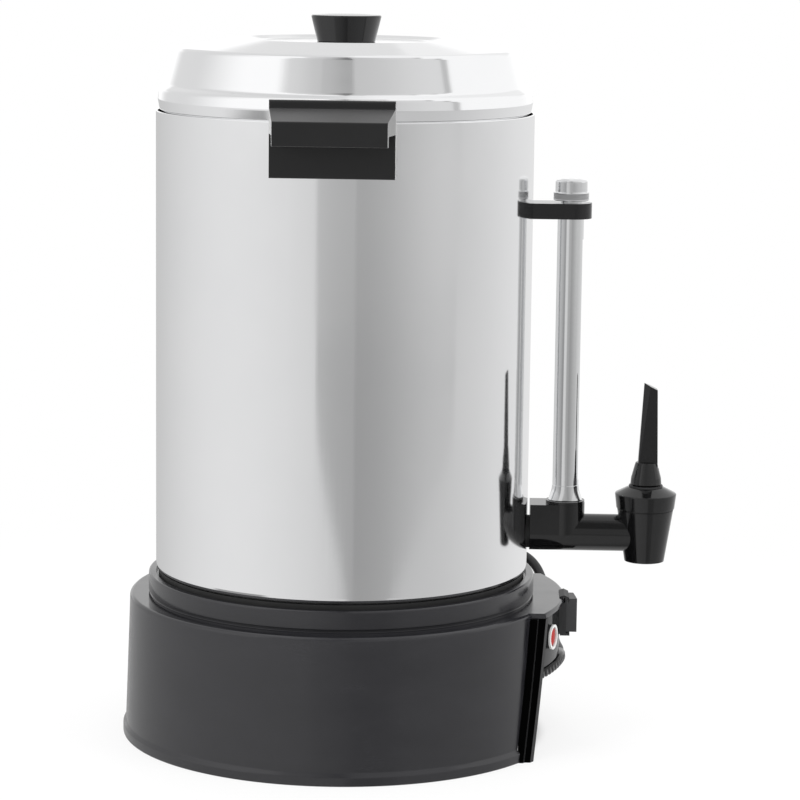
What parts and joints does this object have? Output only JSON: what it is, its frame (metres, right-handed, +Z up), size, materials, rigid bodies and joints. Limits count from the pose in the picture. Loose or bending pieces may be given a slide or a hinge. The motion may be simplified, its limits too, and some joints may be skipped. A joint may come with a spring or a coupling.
{
  "type": "coffee urn",
  "caption": "Coffee urn with a polished vessel, domed lid and knob, side handles, a black base with switch and lamp, a sight gauge and a lever tap.",
  "frame": {"origin": "the urn's upright axis at the level of the table it stands on", "axes": "+Z up, +X from the axis towards the tap and gauge, the two side handles at +Y and -Y"},
  "size_m": [0.3719, 0.4014, 0.4827],
  "materials": {
    "polished_aluminium": "mirror polished, fine scratches from wiping",
    "spun_aluminium": "plain spun inside parts",
    "black_moulding": "glossy black heat-resistant moulding",
    "black_base": "black moulding with a fine satin grain",
    "dark_matte": "dark matte moulding",
    "grey_button": "dark grey moulding",
    "chrome": "bright plated",
    "white_ring": "bright ring",
    "red_lens": "translucent red",
    "screw_steel": "plated steel hardware",
    "heater_steel": "heat-tinted sheath",
    "cover_paint": "dark painted sheet",
    "glass": "clear tube",
    "black_rubber": "black rubber",
    "red_silicone": "soft seal",
    "pale_silicone": "soft seal",
    "cord_jacket": "soft dark grey cord jacket",
    "ceramic": "pale insulator",
    "wire_jacket": "pale heat-proof lead jacket",
    "brass": "plain blades"
  },
  "bodies": {
    "urn": {"body_vessel": "polished_aluminium", "foot_ring": "black_rubber", "base_shell": "black_base", "front_panel": "black_base", "panel_screws": "screw_steel", "bottom_cover": "cover_paint", "cover_screws": "screw_steel", "base_studs": "screw_steel", "base_nuts": "screw_steel", "boil_heater": "heater_steel", "heater_nut": "screw_steel", "warm_heater": "heater_steel", "thermostat": "ceramic", "thermal_fuse": "spun_aluminium", "terminal_block": "ceramic", "wiring": "wire_jacket", "lamp_body": "dark_matte", "lamp_ring": "white_ring", "lamp_lens": "red_lens", "switch_housing": "dark_matte", "handle_near": "black_moulding", "handle_far": "black_moulding", "handle_screws": "screw_steel", "tap_body": "black_moulding", "shank_nut": "screw_steel", "shank_washers": "black_rubber", "tap_bonnet": "black_moulding", "lever_washer": "dark_matte", "valve_spring": "screw_steel", "gauge_glass": "glass", "gauge_shield": "chrome", "shield_skirt": "chrome", "gauge_seals": "red_silicone", "gauge_bracket": "black_moulding", "bracket_screw": "screw_steel", "gauge_cap": "chrome", "cord_boot": "black_rubber", "cord": "cord_jacket", "cord_coil": "cord_jacket", "cord_tail": "cord_jacket", "cord_tie": "dark_matte", "plug": "cord_jacket", "plug_blades": "brass"},
    "pump": {"pump_tube": "spun_aluminium"},
    "basket": {"coffee_basket": "spun_aluminium"},
    "cover": {"basket_cover": "spun_aluminium"},
    "lid": {"lid_shell": "polished_aluminium", "lid_knob": "black_moulding", "knob_screw": "screw_steel"},
    "stem": {"valve_stem": "screw_steel", "seat_cup": "pale_silicone", "lever_pin": "screw_steel"},
    "lever": {"tap_lever": "black_moulding"},
    "button": {"power_button": "grey_button"}
  },
  "joints": [
    {"name": "pump_lift", "type": "slide", "parent": "urn", "child": "pump", "axis": [0, 0, 1], "range_m": [0, 0.32]},
    {"name": "basket_lift", "type": "slide", "parent": "pump", "child": "basket", "axis": [0, 0, 1], "range_m": [0, 0.14]},
    {"name": "cover_lift", "type": "slide", "parent": "basket", "child": "cover", "axis": [0, 0, 1], "range_m": [0, 0.06]},
    {"name": "lid_lift", "type": "slide", "parent": "cover", "child": "lid", "axis": [0, 0, 1], "range_m": [0, 0.12]},
    {"name": "stem_lift", "type": "slide", "parent": "urn", "child": "stem", "axis": [0, 0, 1], "range_m": [0, 0.0043], "deforming": ["valve_spring"]},
    {"name": "lever_tilt", "type": "hinge", "parent": "stem", "child": "lever", "pos_m": [0.2042, 0, 0.17925], "axis": [0, 1, 0], "range_deg": [0, 35]},
    {"name": "button_press", "type": "slide", "parent": "urn", "child": "button", "axis": [1, 0, 0], "range_m": [-0.0026, 0], "stiffness_N_per_m": 200, "springref_m": 0.002}
  ],
  "couplings": [
    {"joint": "stem_lift", "follows": "lever_tilt", "m_per_rad": 0.007}
  ]
}
